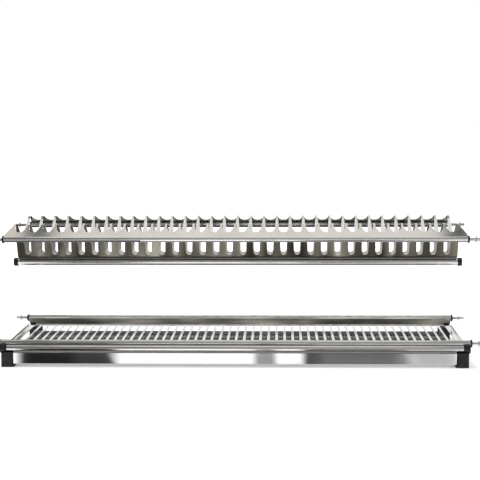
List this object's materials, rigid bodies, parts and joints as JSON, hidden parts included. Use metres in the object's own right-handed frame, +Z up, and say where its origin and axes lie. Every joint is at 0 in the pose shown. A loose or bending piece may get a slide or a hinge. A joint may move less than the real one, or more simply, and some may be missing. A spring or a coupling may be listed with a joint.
{
  "type": "cabinet dish rack",
  "caption": "Two-shelf dish rack for the inside of a wall cabinet: a plate trough with rows of pointed fins above a slotted cup tray with a sliding drip tray.",
  "frame": {"origin": "under the middle of the rack, level with its lowest point", "axes": "+X to the right along the tubes, +Y to the back of the cabinet, +Z up"},
  "size_m": [0.882, 0.2868, 0.2468],
  "materials": {
    "tube_steel": "polished stainless steel tube",
    "sheet_steel": "stamped stainless steel sheet with a fine satin polish",
    "polished_steel": "bright stainless steel sheet",
    "end_cap_plastic": "black moulded plastic",
    "hanger_plastic": "black moulded plastic with a soft sheen",
    "pin_metal": "turned and nickel plated steel"
  },
  "bodies": {
    "wall_pins": {"plate_front_wall_pin_right": "pin_metal", "plate_front_wall_pin_left": "pin_metal", "plate_rear_wall_pin_right": "pin_metal", "plate_rear_wall_pin_left": "pin_metal", "cup_front_wall_pin_right": "pin_metal", "cup_front_wall_pin_left": "pin_metal", "cup_rear_wall_pin_right": "pin_metal", "cup_rear_wall_pin_left": "pin_metal"},
    "plate_rack": {"plate_front_tube": "tube_steel", "plate_front_cap_right": "end_cap_plastic", "plate_front_cap_left": "end_cap_plastic", "plate_rear_tube": "tube_steel", "plate_rear_cap_right": "end_cap_plastic", "plate_rear_cap_left": "end_cap_plastic", "plate_trough": "sheet_steel", "plate_lower_tube": "tube_steel", "plate_lower_cap_right": "end_cap_plastic", "plate_lower_cap_left": "end_cap_plastic"},
    "drip_tray": {"drip_tray": "polished_steel"},
    "cup_rack": {"cup_front_tube": "tube_steel", "cup_front_cap_right": "end_cap_plastic", "cup_front_cap_left": "end_cap_plastic", "cup_rear_tube": "tube_steel", "cup_rear_cap_right": "end_cap_plastic", "cup_rear_cap_left": "end_cap_plastic", "cup_tray": "sheet_steel", "hanger_tube_front": "tube_steel", "hanger_tube_rear": "tube_steel", "hanger_front_right": "hanger_plastic", "hanger_front_left": "hanger_plastic", "hanger_rear_right": "hanger_plastic", "hanger_rear_left": "hanger_plastic"}
  },
  "joints": [
    {"name": "plate_rack_lift", "type": "slide", "parent": "wall_pins", "child": "plate_rack", "axis": [0, 0, 1], "range_m": [0, 0.03]},
    {"name": "cup_rack_lift", "type": "slide", "parent": "wall_pins", "child": "cup_rack", "axis": [0, 0, 1], "range_m": [0, 0.03]},
    {"name": "drip_tray_slide", "type": "slide", "parent": "cup_rack", "child": "drip_tray", "axis": [0, -1, 0], "range_m": [0, 0.16]}
  ]
}
